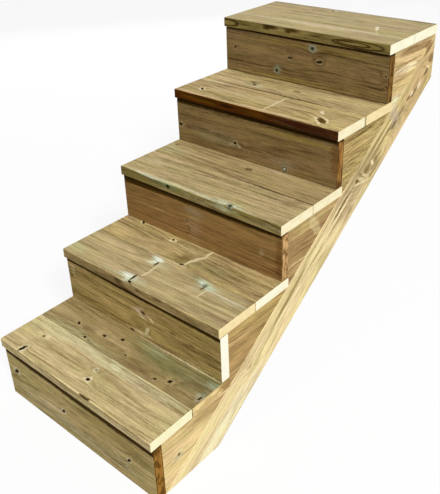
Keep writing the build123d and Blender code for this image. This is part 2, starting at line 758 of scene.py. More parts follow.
    def _end_grain(self, rings: Link) -> Link:
        """The colour of a sawn end: faint ring arcs, streaks along its longer side, and a dark rim.

        Args:
            rings: the number of rings from the heart.

        Returns:
            The colour.
        """
        shader, end = self.shader, self.finish.end
        arcs = shader.between(shader.math("SINE", rings * math.pi * 2.0), 0.0, 1.0)
        streaks = shader.between(self._noise(self.point, self.END_STREAKS), *self.END_STREAKED)
        smudges = shader.between(self._noise(self.point, self.END_SMUDGES), *self.END_SMUDGED)
        rim = shader.between(shader.math("MINIMUM", *self.arris_depths), *self.END_RIM)
        streaks = streaks * (end.figure * self.STREAKS_SHARE)
        colour = shader.mix(arcs * (end.figure * self.ARCS_SHARE), end.light, end.dark)
        for cover in (streaks, smudges * end.figure, rim * end.rim):
            colour = shader.mix(cover, colour, end.dark)
        return colour

    def _wear_and_highlight(self, colour: Link, streaks: Link) -> Link:
        """The colour, paler in places along the long edges: wear, and a painted highlight on the
        arrises.

        Args:
            colour: the colour of the faces.
            streaks: noise in the grain that breaks up the pale places.

        Returns:
            The colour.
        """
        shader = self.shader
        corner = shader.vector("LENGTH", shader.join(*self.arris_depths))
        edge = shader.between(corner, *self.WEAR_AND_HIGHLIGHT_EDGE)
        wear_and_highlight = edge * shader.between(streaks, *self.WEAR_AND_HIGHLIGHT_PLACES) * self.WEAR_AND_HIGHLIGHT_STRENGTH
        return shader.mix(wear_and_highlight, colour, self.WEAR_AND_HIGHLIGHT, "MULTIPLY")

    def _surface(self, colour: Link, level: Link) -> None:
        """Makes the surface; the darker the grain, the deeper and smoother it is.

        Args:
            colour: its colour.
            level: how light the grain is.
        """
        shader = self.shader
        relief = {**self.BUMP, "Height": level}
        inputs = {
            "Base Color": colour,
            "Roughness": shader.ramp(level, 0.0, 2.0) * self.ROUGHNESS_RANGE + self.ROUGHNESS,
            "Specular IOR Level": self.GLOSS,
            "Normal": shader.node("ShaderNodeBump", {}, relief),
        }
        shader.finish(shader.node("ShaderNodeBsdfPrincipled", {}, inputs))


# ---------------------------------------------------------------- board surfaces

CREASE = math.radians(32.0)  # faces that meet at more than this show an edge


@dataclass(frozen=True)
class Ding:
    """A place on a piece's near upper edge where wood is missing, in millimetres."""

    along: float  # from the middle of the piece
    depth: float  # how much it widens the edge's rounding
    length: float


class EasedTimber:
    """A straight piece of timber with rounded long edges, as a surface of two parameters.

    One parameter runs along the piece and the other round its outline, a rectangle whose four
    corners are arcs. The arcs' radius wanders along the piece, and the whole outline shrinks inward
    by a little smooth noise. The two ends are closed by a Coons patch: each point is the mean of
    what the two pairs of facing sides give, less what the corners count twice.
    """

    CORNERS = np.array([(1, 1), (-1, 1), (-1, -1), (1, -1)], float)  # far upper, near upper and on
    NEAR_UPPER = 1
    ARC_POINTS = 4
    STEP = 0.0045
    SAWN_ARRIS = mm(0.8)
    LEAST_RADIUS = mm(0.8)
    MOST_ROUND = 0.45  # of the piece's thickness
    ARC_MARGIN, MOST_MARGIN = mm(0.8), 0.2
    WAVE_SPREAD = (0.6, 1.4)
    RADIUS_WAVES, RADIUS_CHANGE = 3.0, 0.3
    RAGGED_WAVES, RAGGED_CHANGE = 40.0, 0.35
    SHRINKING = ((mm(0.35), 1.6), (mm(0.22), 2.3))  # depth, waves to the metre; for both axes

    def __init__(
        self, name: str, place: Place, seed: int, arrises: Sequence[float], dings: Sequence[Ding]
    ) -> None:
        """Keeps what the surface is worked out from.

        Args:
            name: the object's name.
            place: where the piece lies.
            seed: the source of its irregularity.
            arrises: the rounding of its four long edges in millimetres.
            dings: the missing wood.
        """
        self.name = name
        self.place = place
        self.arrises = arrises
        self.dings = dings
        self.random = np.random.default_rng(seed)

    def _wander(self, where: np.ndarray, waves: float, count: int = 4) -> np.ndarray:
        """Smooth noise: a sum of sines of random phase, each about a wave shorter than the last.

        Args:
            where: places in metres.
            waves: how many waves the longest has to the metre.
            count: how many sines there are.

        Returns:
            The noise from about -1 to 1.
        """
        total = np.zeros_like(where)
        for octave in range(count):
            phase = self.random.uniform(0.0, 2.0 * math.pi)
            pitch = waves * (octave + self.random.uniform(*self.WAVE_SPREAD))
            total = total + np.sin(where * pitch * 2.0 * math.pi + phase) / (octave + 1.0)
        return total / 2.0

    def _radii(self, along: np.ndarray) -> np.ndarray:
        """The rounding of the long edges: each one's own, waved, and wider where wood is missing.

        Args:
            along: the stations' places in metres.

        Returns:
            Stations by edges, in metres.
        """
        edges = [
            mm(arris) * (1.0 + self.RADIUS_CHANGE * self._wander(along, self.RADIUS_WAVES))
            for arris in self.arrises
        ]
        radii = np.stack(edges, axis=1)
        for ding in self.dings:
            reach = (along - mm(ding.along)) / mm(ding.length / 2)
            ragged = 1.0 + self.RAGGED_CHANGE * self._wander(along, self.RAGGED_WAVES)
            radii[:, self.NEAR_UPPER] += mm(ding.depth) * np.exp(-(reach**4)) * ragged
        return np.clip(radii, self.LEAST_RADIUS, self.place.size[2] * self.MOST_ROUND)

    def _side(self, radii: np.ndarray, side: int) -> np.ndarray:
        """One side of the outline at every station: half an arc, a straight run and half an arc.

        Args:
            radii: edge radii, one row for each station.
            side: 0 upper, 1 near, 2 lower, 3 far.

        Returns:
            Stations by points by (across, through).
        """
        half = np.array(self.place.size[1:]) / 2
        arcs = []
        for corner, first in ((side, 45.0), ((side + 1) % 4, 90.0)):
            radius = radii[:, corner, None, None]
            angles = np.radians(np.linspace(first, first + 45.0, self.ARC_POINTS) + 90.0 * side)
            circle = np.stack([np.cos(angles), np.sin(angles)], axis=1)
            arcs.append(self.CORNERS[corner] * (half - radius) + radius * circle)
        start, finish = arcs[0][:, -1:], arcs[1][:, :1]
        runs = self._runs(self.place.size[2 if side % 2 else 1])
        straight = start + (finish - start) * runs[None, :, None]
        return np.concatenate([arcs[0], straight, arcs[1][:, :-1]], axis=1)

    def _runs(self, length: float) -> np.ndarray:
        """Places from 0 to 1 along a straight run, evenly spread with one more near each arc."""
        close = min(self.MOST_MARGIN, self.ARC_MARGIN / length)
        return np.concatenate([[close], self._even(length), [1.0 - close]])

    def _stations(self) -> np.ndarray:
        """Places from 0 to 1 along the piece, with the sawn ends' chamfers."""
        chamfer = np.array([0.0, 1.0, 2.0]) * (self.SAWN_ARRIS / self.place.size[0])
        return np.concatenate([chamfer, self._even(self.place.size[0]), 1.0 - chamfer[::-1]])

    def _even(self, length: float) -> np.ndarray:
        """Evenly spread places between 0 and 1."""
        return np.linspace(0.0, 1.0, max(2, round(length / self.STEP)) + 1)[1:-1]

    def _shrink(self, outline: np.ndarray, along: np.ndarray) -> np.ndarray:
        """The outline pulled inward by a little smooth noise, and by the chamfer at the sawn ends.

        Args:
            outline: stations by points by (across, through).
            along: the stations' places in metres.

        Returns:
            The smaller outline.
        """
        noises = [depth * (1.0 + self._wander(along, waves)) for depth, waves in self.SHRINKING]
        inward = np.stack(noises, axis=1)
        inward[[0, -1]] += self.SAWN_ARRIS
        scale = 1.0 - 2.0 * np.clip(inward, 0.0, None) / np.array(self.place.size[1:])
        return outline * scale[:, None, :]

    @staticmethod
    def _cap(ring: np.ndarray, sides: Sequence[int]) -> tuple[np.ndarray, np.ndarray]:
        """The Coons patch inside one end's outline.

        Args:
            ring: the end's outline points, in order round it.
            sides: how many points each side starts.

        Returns:
            The new inner points, and the grid of point numbers, in which inner points are counted
            from the ring's length on.
        """
        count_u, count_v = sides[:2]
        total = len(ring)
        upper = np.arange(count_u + 1)
        near = count_u + np.arange(count_v + 1)
        lower = (count_u + count_v + np.arange(count_u + 1))[::-1]
        far = ((2 * count_u + count_v + np.arange(count_v + 1)) % total)[::-1]
        u = np.linspace(0.0, 1.0, count_u + 1)[1:-1, None, None]
        v = np.linspace(0.0, 1.0, count_v + 1)[None, 1:-1, None]
        top, bottom = ring[upper[1:-1], None], ring[lower[1:-1], None]
        right, left = ring[None, far[1:-1]], ring[None, near[1:-1]]
        corners = (
            (1 - u) * (1 - v) * ring[upper[0]] + u * (1 - v) * ring[upper[-1]]
            + (1 - u) * v * ring[lower[0]] + u * v * ring[lower[-1]]
        )
        inner = (1 - v) * top + v * bottom + (1 - u) * right + u * left - corners
        grid = np.empty((count_u + 1, count_v + 1), int)
        grid[:, 0], grid[:, -1] = upper, lower
        grid[0, :], grid[-1, :] = far, near
        grid[1:-1, 1:-1] = total + np.arange(inner[..., 0].size).reshape(inner.shape[:2])
        return inner.reshape(-1, ring.shape[1]), grid

    def build(self) -> bpy.types.Object:
        """Works out the surface: the outline carried along the piece, and its two caps.

        Returns:
            The piece as an object at the origin.
        """
        length, width, _ = self.place.size
        stations = self._stations()
        along = (stations - 0.5) * length
        radii = self._radii(along)
        sides = [self._side(radii, side) for side in range(4)]
        outline = self._shrink(np.concatenate(sides, axis=1), along)
        from_upper_edge = outline[..., 0] - width / 2
        first = from_upper_edge * self.place.start_skew - length / 2
        last = from_upper_edge * self.place.end_skew + length / 2
        travel = first + (last - first) * stations[:, None]
        body = np.concatenate([travel[..., None], outline], axis=2)

        counts = [side.shape[1] for side in sides]
        start_inner, start = self._cap(body[0], counts)
        end_inner, end = self._cap(body[-1], counts)
        rows, columns = body.shape[:2]
        numbers = np.arange(rows * columns).reshape(rows, columns)
        past_body = (rows - 1) * columns
        start = np.where(start < columns, start, start + past_body)
        end = np.where(end < columns, end + past_body, end + past_body + len(start_inner))
        tube = np.concatenate([numbers, numbers[:, :1]], axis=1)
        faces = np.concatenate([self._quads(tube), self._quads(start), self._quads(end)[:, ::-1]])
        points = np.concatenate([body.reshape(-1, 3), start_inner, end_inner])
        world = points @ np.array(self.place.axes).T + np.array(self.place.middle)
        return new_object(self.name, world, faces)

    @staticmethod
    def _quads(grid: np.ndarray) -> np.ndarray:
        """The faces between neighbouring points of a grid of point numbers."""
        corners = (grid[:-1, :-1], grid[:-1, 1:], grid[1:, 1:], grid[1:, :-1])
        return np.stack(corners, axis=-1).reshape(-1, 4)


def new_object(name: str, points: np.ndarray, faces: np.ndarray) -> bpy.types.Object:
    """A smooth-shaded mesh object, creased where its faces turn sharply.

    Args:
        name: the object's name.
        points: one row of X, Y, Z for each vertex.
        faces: one row of vertex numbers for each face.

    Returns:
        The object, linked to the scene.
    """
    mesh = bpy.data.meshes.new(name)
    mesh.from_pydata(points.tolist(), [], faces.tolist())
    mesh.polygons.foreach_set("use_smooth", np.ones(len(mesh.polygons), bool))
    mesh.set_sharp_from_angle(angle=CREASE)
    mesh.update()
    made = bpy.data.objects.new(name, mesh)
    bpy.context.scene.collection.objects.link(made)
    return made


# ---------------------------------------------------------------- the finishes

ARRIS = 2.2  # rounding of a planed edge, in millimetres
SHAPE_SEED_STEP = 17  # between the shapes of two pieces
NEAR_EDGE = -73  # across the face of a tread board, in millimetres
UPPER_EDGE = 95  # across the face of a riser, with room for the shadow's soft rim
LOOP_SIDE, LOOP_POINT = 4, 13  # how thick a loop's line is, in millimetres

DEAD, RINGED, RED, RUSSET, WASHED, EYE, GREY, PALE, SPIKE, SHADE, SLIT = KnotKind


class Row(Enum):
    """One of a step's two tread boards."""

    FRONT = "front"
    BACK = "back"


FRONT, BACK = Row

FRESH_END = EndGrain((97.5, 94.5, 72), (80, 72, 47), 0.22)
WHITE_END = EndGrain((98, 96.5, 80), (90, 84, 60), 0.12, 0)
CREAM_END = EndGrain((95, 86.5, 58.5), (76, 62, 36), 0.25)
STRAW_END = EndGrain((94, 78, 43.5), (74, 55, 26), 0.28)
TAN_END = EndGrain((91, 70, 33.5), (46, 30, 11), 0.6, 0.4)
DARK_END = EndGrain((25, 12.8, 3), (4.5, 1.9, 0.2), 0.8, 1)
RUST_END = EndGrain((40, 20, 5.2), (6, 2.2, 0.3), 0.78, 1)
AMBER_END = EndGrain((68, 42, 18), (12, 5.2, 1), 0.8, 1)
BROWN_END = EndGrain((38, 18.5, 3.6), (7, 2.9, 0.2), 0.78, 0.9)

MINT = (57, 65, 43)
CHALK = (72, 77, 62)
UMBER = (8.5, 5, 2)
# painted shadow: the shade under a nosing, put on its riser's upper edge
PAINTED_SHADOW = (5, 2.5, 0.2)


def wood(
    tone: Tone, growth: Growth, end: EndGrain, *marks: Mark, nosing: Tone | None = None
) -> Finish:
    """A finish from its tones, its log and any number of marks."""
    return Finish(tone, growth, end, marks, nosing)


def on_nosing(
    along: float, below: float, length: float, height: float, *look: Any, width: float = 12
) -> Stain:
    """A stain on the near narrow face, placed along it and below its upper edge."""
    return Stain(along, NEAR_EDGE, length, width, *look, below=below, height=height)


def loop(
    along: float, length: float, height: float, line: Colour, inside: Colour
) -> tuple[Stain, Stain]:
    """A pointed loop of summer wood on the near narrow face.

    Args:
        along: its middle along the board, in millimetres.
        length: its whole length.
        height: its whole height on the face.
        line: the colour of its line.
        inside: the colour inside it.

    Returns:
        The loop's outer and inner oval.
    """
    outer = on_nosing(along, 15, length, height, line, 0.9, 0.5, 0.12, width=16)
    length -= 2 * LOOP_POINT
    height -= 2 * LOOP_SIDE
    return outer, replace(outer, length=length, height=height, width=14, colour=inside, strength=1)


def nosing_shadow(lowest: float, slant: float = 0.0) -> Stain:
    """A painted shadow under a nosing, all along its riser's upper edge, down to a place across it.
    """
    height = 2 * (UPPER_EDGE - lowest)
    return Stain(0, UPPER_EDGE, 2800, height, PAINTED_SHADOW, 1, 0.3, 0.14, turn=slant)


TREAD_FINISHES: dict[tuple[int, Row], Finish] = {}
TREAD_FINISHES[1, FRONT] = wood(
    Tone((53, 42.7, 20.9), 0.62, 1.5), Growth(20, -75, 5.6, 18, 10, 10, 1),
    replace(FRESH_END, light=(96.5, 92.5, 60)),
    Knot(-222, -57, 5, SLIT, 2.8, 82), Knot(-218, 13, 3.4, SHADE), Knot(22, -23, 4.8, RINGED),
    Knot(13, 15, 4.4, WASHED),
    Stain(40, 56, 620, 40, (66, 60, 36), 0.65), Stain(-220, 46, 220, 54, (60, 54, 29), 0.6),
    Stain(45, 56, 40, 32, (78, 74, 46), 0.8, 1.6), Stain(24, 73, 44, 8, (82, 76, 52), 0.7, 1.6),
    Stain(-211, 17, 30, 20, (72, 62, 36), 0.6, 1.6), Stain(-20, 30, 640, 5, (38, 26, 10), 0.55, 1),
    Stain(-90, -6, 240, 5, (38, 25, 10), 0.5, 1), Stain(-80, -55, 330, 5, (38, 25, 10), 0.5, 1),
    Stain(180, -44, 250, 5, (38, 26, 10), 0.5, 1),
    Stain(66, -72, 44, 9, UMBER, 1, 0.3, 0.2, below=1, height=10),
    nosing=Tone((71, 56.5, 29), 0.9),
)
TREAD_FINISHES[1, BACK] = wood(
    Tone((31.5, 23.5, 10), 0.7), Growth(-30, -80, 5.2, -15, 8, 9, 2), TAN_END,
    Knot(-186, -31, 3.8, DEAD, 1.8, -30), Knot(-123, -61, 4, DEAD), Knot(-82, -22, 4.6, DEAD, 1.3),
    Knot(-27, -2, 4.8), Knot(27, -42, 3.2, DEAD, 1.6), Knot(159, -56, 4),
    Knot(197, -39, 5.6, DEAD, 1.4, 50), Knot(300, -34, 3.4, DEAD, 2, 80),
    Knot(-46, 52, 3.4, DEAD, 1.8, -10),
    Stain(190, 14, 330, 84, (21.5, 19.5, 8), 0.9),
    Stain(70, 26, 120, 30, (30, 31, 16), 0.65, 2.4, 0.8),
    Stain(300, 20, 60, 20, (36, 40, 27), 0.7, 2.4, 0.8),
    Stain(300, -24, 26, 52, (38, 40, 26), 0.65, 2.4, 0.8),
    Stain(170, 41, 270, 5, (56, 46, 25), 0.85, 0.8),
    Stain(-190, -66, 300, 36, (47, 42.5, 22), 0.75, 2.4, 0.9),
    Stain(-270, -16, 170, 40, (44, 34, 17), 0.6), Stain(-60, -15, 220, 30, (42, 31, 16), 0.6),
    EndStain(310, 62, 60, 56, (33, 20, 7), 0.85, 1, 0.5, height=200),
)
TREAD_FINISHES[2, FRONT] = wood(
    Tone((43, 33.5, 16.5), 0.68), Growth(60, -60, 5.4, 14, 12, 11, 3), STRAW_END,
    Knot(-28, 44, 3, DEAD, 3.8, 92), Knot(-29, -45, 3.2, DEAD, 4.4, 90),
    Knot(158, 40, 2.6, SHADE, 5, 86), Knot(-22, -66, 4.2, DEAD, 1.6),
    Knot(-14, 24, 3.2, SPIKE, 6.1, 88), Knot(-16, -8, 3, SPIKE, 6.1, 66),
    Knot(170, 18, 2.8, SPIKE, 6.1, 84),
    Stain(-44, 62, 48, 38, CHALK, 0.95, 2.6, 0.8), Stain(-38, 48, 28, 22, CHALK, 0.7, 3, 0.8),
    Stain(-20, 42, 90, 24, (52, 51, 33), 0.45, 3, 0.9),
    Stain(-42, -48, 58, 28, CHALK, 0.95, 2.6, 0.8, height=20),
    Stain(-34, -60, 34, 24, CHALK, 0.8, 3, 0.8, height=14),
    Stain(-84, -56, 120, 10, (56, 52, 35), 0.5, 2, 0.8, height=20),
    Stain(0, -52, 60, 30, (53, 51, 36), 0.45, 2.6, 0.9, height=20),
    Stain(157, 47, 80, 46, (52, 65, 50), 0.9, 3, 0.8), Stain(144, 54, 26, 16, CHALK, 0.7, 3, 0.8),
    Stain(174, 38, 30, 14, CHALK, 0.7, 3, 0.8),
    Stain(156, 48, 30, 18, (10, 17, 14), 0.85, 2.6, 0.7),
    Stain(230, 38, 190, 10, (62, 55, 38), 0.7, 2), Stain(250, 26, 140, 8, (56, 50, 34), 0.6, 2),
    Stain(-290, -40, 90, 60, (44, 41, 21), 0.6), Stain(130, -4, 360, 18, (54, 43, 23), 0.6),
    Stain(-180, 4, 200, 14, (53, 43, 24), 0.5),
    on_nosing(0, 0, 640, 4, (60, 50, 28), 0.8, 1.4, width=4),
    on_nosing(-66, 10, 34, 14, UMBER, 0.8, 0.9), on_nosing(14, 11, 22, 12, UMBER, 0.6, 0.9),
    on_nosing(92, 9, 44, 9, UMBER, 0.7, 0.9),
    nosing=Tone((37, 27, 11.7), 0.9),
)
TREAD_FINISHES[2, BACK] = wood(
    Tone((42, 31, 13.6), 0.88), Growth(-50, -65, 5.4, -12, 12, 10, 4), FRESH_END,
    Knot(-82, 22, 5, RED, 1.3), Knot(-232, 42, 4.2, DEAD, 2.2, -50),
    Knot(-240, 38, 3, SPIKE, 3, -50), Knot(48, -22, 4.6, SPIKE, 8.4, 74),
    Knot(56, 34, 3.4, SPIKE, 6.1, 88), Knot(32, -60, 4.4, DEAD, 1.4),
    Stain(22, -32, 74, 46, (17, 12, 3.5), 0.9, 2.4), Stain(-10, -40, 90, 26, (27, 20, 7), 0.7),
    Stain(110, -30, 190, 56, (30, 25, 10), 0.8), Stain(10, 12, 220, 14, (55, 43, 23), 0.7),
    Stain(-120, 8, 260, 10, (52, 41, 22), 0.6), Stain(-60, -68, 220, 9, (58, 50, 31), 0.7),
)
TREAD_FINISHES[3, FRONT] = wood(
    Tone((45, 35, 17), 0.75), Growth(70, -50, 5.2, 10, 10, 8, 5), CREAM_END,
    Knot(131, -67, 4.6, GREY, 1.5, -60),
    Stain(-120, 49, 360, 7, (35, 26, 11), 0.7, 1), Stain(100, 2, 420, 6, (37, 27, 11), 0.6, 1),
    Stain(-250, 16, 130, 34, (56, 46, 26), 0.6), Stain(-20, -66, 600, 10, (54, 52, 31), 0.7, 3),
    Stain(120, -62, 84, 18, MINT, 0.85, 3.4, 0.8), Stain(-230, -67, 70, 8, (74, 68, 46), 0.8, 3),
    on_nosing(95, 0, 320, 5, (60, 67, 44), 0.9, 3.4, width=5),
    on_nosing(-110, 0, 260, 5, (60, 61, 40), 0.7, 3.4, width=5),
    on_nosing(-200, 0, 90, 6, CHALK, 0.8, 3, width=5),
    on_nosing(20, 24, 640, 14, (36, 27, 12), 0.6, 2.6),
    on_nosing(-112, 9, 80, 18, (20, 24, 12), 0.7, 2, 0.9),
    on_nosing(-104, 10, 17, 13, (2, 2, 0.6), 1, 0.8, 0.4, width=14),
    nosing=Tone((25, 20, 6), 0.85),
)
TREAD_FINISHES[3, BACK] = wood(
    Tone((39.5, 29.5, 13.5), 0.75), Growth(-60, -60, 5, -10, 8, 8, 6), CREAM_END,
    Knot(26, -2, 7, SHADE, 1.6), Knot(32, 1, 4.4, RUSSET, 1.2), Knot(-282, 6, 3.6, SHADE),
    Stain(-270, -30, 150, 60, (43, 38, 20), 0.6), Stain(190, -56, 280, 8, (30, 21, 8.5), 0.7, 1),
    Stain(160, -71, 330, 5, UMBER, 0.9, 0.9), Stain(110, 32, 120, 14, (52, 42, 25), 0.6),
)
TREAD_FINISHES[4, FRONT] = wood(
    Tone((46.5, 35, 15.8), 0.88), Growth(-40, -55, 6, 16, 14, 13, 7), CREAM_END,
    Knot(226, -28, 9.6, RED, 2.4, -40), Knot(-236, -18, 4.2, RINGED, 2.4, -48),
    Knot(38, 8, 4.2, SPIKE, 14, 88),
    Stain(192, 26, 30, 13, (80, 69, 46), 0.9, 0.8, turn=-45),
    Stain(-60, 8, 320, 40, (54, 43, 23), 0.6), Stain(-205, 38, 60, 22, (32, 25, 10), 0.6),
    Stain(120, 42, 300, 14, (35, 27, 11.5), 0.7), Stain(0, -45, 560, 18, (37, 27, 10.5), 0.7),
    Stain(0, -60, 640, 10, (57, 42, 25), 0.8), Stain(-240, 58, 130, 12, (57, 52, 32), 0.7),
    Stain(190, -71, 260, 5, UMBER, 0.8, 0.8),
    on_nosing(-200, 11, 170, 17, (11.5, 5.5, 0.1), 0.7, 2.6),
    on_nosing(10, 11, 130, 15, (10, 4.5, 0.1), 0.7, 2.6),
    on_nosing(160, 10, 110, 12, (4.5, 0.4, 0.2), 0.8, 1.6),
    on_nosing(-90, 11, 60, 14, (4, 1.2, 0.2), 0.8, 1),
    on_nosing(110, 9, 90, 9, (4, 1, 0.2), 0.8, 1),
    on_nosing(230, 13, 150, 24, (3.5, 0.8, 0.2), 0.75, 2),
    on_nosing(0, 28, 640, 10, (3, 1.2, 0.2), 0.8, 1),
    EndStain(310, 71, 60, 13, (36, 32, 13), 0.9, 0.6, 0.3, height=200),
    nosing=Tone((8.2, 2.25, 0.1), 1.1),
)
TREAD_FINISHES[4, BACK] = wood(
    Tone((49, 38, 18), 0.8), Growth(45, -60, 5.6, -14, 12, 11, 8), STRAW_END,
    Knot(-124, -36, 5, SHADE, 2, -40), Knot(-142, -20, 4.4, SHADE, 1.8),
    Knot(30, -16, 3.8, SHADE, 3.5),
    Stain(-60, 40, 500, 16, (38, 29, 11.5), 0.6), Stain(-134, -28, 60, 40, (29, 26, 12), 0.8, 2.4),
    Stain(-106, -48, 34, 30, (62, 56, 34), 0.7, 2.4), Stain(90, -4, 160, 14, (55, 43, 24), 0.7),
    Stain(0, -50, 560, 8, (58, 47, 27), 0.5), Stain(70, -71, 460, 5, UMBER, 0.9, 0.8),
    Stain(-180, -72, 200, 4, UMBER, 0.6, 0.8),
)
TREAD_FINISHES[5, FRONT] = wood(
    Tone((45.5, 36.5, 18.5), 0.65), Growth(-118, 2, 5.2, 9, 16, 9, 9), FRESH_END,
    Stain(20, 8, 660, 26, (68, 58, 36), 0.85), Stain(0, 40, 660, 18, (38, 30, 13), 0.7),
    Stain(188, 64, 26, 11, (86, 80, 60), 0.9, 0.8, turn=-50),
    Stain(206, 30, 60, 6, (66, 57, 36), 0.7, 0.8, turn=-55),
    Stain(196, -30, 40, 26, (56, 44, 28), 0.6, 1.6, 0.8),
    Stain(20, -34, 600, 22, (41, 31, 15), 0.6),
    on_nosing(0, 0, 640, 5, (16, 10, 3), 0.6, 1.2, width=5),
    *loop(203, 190, 26, (4.5, 2.2, 0.1), (27, 20, 5.5)),
    *loop(188, 124, 15, (4.5, 2.2, 0.1), (30, 23, 7)),
    *loop(-292, 92, 24, (5, 2.5, 0.2), (28, 21, 6)),
    on_nosing(-118, 7, 48, 12, (5, 2.8, 0.2), 0.95, 1.6, 0.7),
    on_nosing(-132, 12, 24, 10, (5, 2.8, 0.2), 0.9, 1.6, 0.7),
    on_nosing(-32, 7, 50, 11, (5, 2.8, 0.2), 0.95, 1.6, 0.7),
    on_nosing(-48, 12, 24, 11, (5, 2.8, 0.2), 0.9, 1.6, 0.7),
    on_nosing(56, 11, 60, 6, (6, 3.2, 0.4), 0.8, 1.2, 0.6),
    on_nosing(30, 23, 110, 4, (6, 3.2, 0.4), 0.7, 1.2, 0.6),
    nosing=Tone((24.2, 18.4, 5.8), 0.75),
)
TREAD_FINISHES[5, BACK] = wood(
    Tone((43, 34.5, 18), 0.7), Growth(80, -40, 5, -9, 9, 7, 10), FRESH_END,
    Knot(-52, 46, 3.2, SHADE, 2.4, -55),
    Stain(180, -66, 22, 12, (82, 76, 56), 0.8, 0.8, turn=-50),
    Stain(-44, 54, 30, 12, (56, 54, 36), 0.7, 0.8, turn=-50),
    Stain(170, 0, 260, 90, (46, 35, 20), 0.5), Stain(-190, 0, 260, 50, (47, 35, 16.5), 0.7),
    Stain(-40, -44, 200, 22, (51, 44, 25), 0.6), Stain(0, 64, 640, 18, (39, 34, 22), 0.6),
)

# The risers' tones darken from riser 1 up to riser 5: painted light, the ground's glow on the lower
# risers, over each board's own colour.
RISER_FINISHES: dict[int, Finish] = {}
RISER_FINISHES[1] = wood(
    Tone((58, 44.5, 19), 0.76), Growth(15, 80, 6, 20, 14, 12, 11), BROWN_END,
    Knot(-269, 15, 6, RINGED, 1.7, 38), Knot(-54, -8, 5, RINGED, 1.5, 40),
    Knot(212, -10, 4, RINGED, 1.9, 58), Knot(202, -44, 3.6, PALE, 2.6, 80),
    Stain(-60, -50, 560, 50, (64, 53, 30), 0.6), Stain(-150, -22, 220, 14, (74, 62, 36), 0.7),
    Stain(150, 42, 360, 74, (41, 30, 11), 0.8), Stain(-70, -18, 40, 14, (68, 56, 32), 0.7, turn=40),
    Stain(180, -30, 90, 12, (70, 58, 34), 0.7, turn=-25), nosing_shadow(65),
)
RISER_FINISHES[2] = wood(
    Tone((37, 26.8, 9.8), 1), Growth(-30, 70, 5.6, 22, 14, 12, 12), WHITE_END,
    Knot(20, 18, 5.4, RUSSET, 1.6, -20), Knot(21, 17, 2.4, DEAD, 2.6, -30),
    Knot(30, -42, 4.8, SPIKE, 3.6, 64), Knot(-294, 14, 4.6, SHADE, 1.8, 80),
    Knot(-34, -66, 4.6, RUSSET, 1.6), Knot(134, 2, 2.6, SHADE, 4), Knot(206, -6, 2.6, SHADE, 4),
    Stain(12, 18, 40, 26, (62, 51, 34), 0.85, 2.4, 0.8),
    Stain(50, 8, 28, 8, (68, 56, 31), 0.85, turn=-35),
    Stain(16, 2, 44, 7, (56, 46, 26), 0.7, turn=-8),
    Stain(8, -66, 18, 14, (60, 56, 34), 0.8, 1.6, turn=50),
    Stain(-92, 10, 200, 5, (14, 9, 2.5), 0.85, 0.8),
    Stain(0, -36, 60, 44, (24, 18, 5.5), 0.7, 2.4, 0.9),
    Stain(6, -60, 70, 12, (54, 46, 23), 0.8, 3), Stain(-284, 34, 26, 30, (66, 53, 27), 0.8, 2.4),
    Stain(-200, -10, 240, 60, (44, 32, 12.5), 0.6), Stain(200, 30, 300, 50, (30, 21.5, 7), 0.6),
    Stain(230, -66, 160, 10, (50, 41, 18), 0.7), nosing_shadow(58.5, -0.5),
)
RISER_FINISHES[3] = wood(
    Tone((28, 16.2, 5.4), 0.68), Growth(30, 90, 6, -16, 10, 9, 13), AMBER_END,
    Knot(-40, -2, 3.8, SHADE, 1.4), Knot(-33, -24, 3.2, SHADE, 3, 100),
    Stain(-13, 42, 66, 22, (36, 27, 16), 0.8, 2.4, 0.9),
    Stain(-10, 0, 50, 150, (34, 23, 11.5), 0.6, 1.6, 0.9),
    Stain(239, -5, 16, 22, (44, 29, 17), 0.8, 1.6, 0.8, turn=-30),
    Stain(-180, -2, 260, 9, (42, 28, 12), 0.8), Stain(60, 2, 90, 10, (20, 10, 3), 0.6),
    Stain(300, 0, 30, 150, (16, 7.5, 1.8), 0.7), nosing_shadow(54.5, 0.8),
)
RISER_FINISHES[4] = wood(
    Tone((23.5, 15.5, 6), 0.72), Growth(-10, 60, 5.2, 14, 12, 13, 14), RUST_END,
    Knot(-295, -14, 5, DEAD, 1.4), Knot(-64, -24, 5, DEAD, 1.2, 20),
    Knot(127, -60, 6.4, EYE, 1.2, 60),
    Stain(-150, -24, 240, 50, (30, 23.5, 11.5), 0.7), Stain(-76, -30, 26, 10, (46, 43, 25), 0.8, 3),
    Stain(-48, -30, 18, 10, (42, 40, 23), 0.8, 3),
    Stain(120, -44, 90, 34, (28, 22.5, 12.5), 0.6, 2.4, 0.9),
    Stain(180, 50, 280, 12, (29, 20.5, 5), 0.8), Stain(-180, 26, 130, 26, (19, 12, 4.5), 0.5),
    Stain(130, 20, 230, 30, (19, 12, 4.5), 0.5), Stain(300, 20, 30, 120, (17, 8, 2), 0.7),
    nosing_shadow(60.5),
)
RISER_FINISHES[5] = wood(
    Tone((21, 14, 5.5), 0.8), Growth(10, 85, 5.2, -12, 9, 9, 15), DARK_END,
    Knot(-269, 11, 4.4, RUSSET, 1.7), Knot(-42, 9, 3.8, DEAD, 1.9), Knot(68, 14, 4.6, DEAD, 2.6, 8),
    Knot(-94, -40, 5.2, GREY, 1.1), Knot(42, 52, 5.2, GREY, 1.1), Knot(299, 10, 4, RUSSET, 1.3),
    Knot(304, -22, 4, RUSSET, 1.8, -60),
    Stain(60, 52, 580, 20, (26, 18, 5), 0.7), Stain(0, -64, 640, 18, (29, 20.5, 6), 0.7),
    Stain(-200, -20, 180, 34, (18, 12, 4.5), 0.6), Stain(-90, -38, 34, 32, (24, 25, 16.5), 0.7, 2),
    Stain(42, 50, 34, 32, (24, 25, 16.5), 0.7, 2), nosing_shadow(68),
)

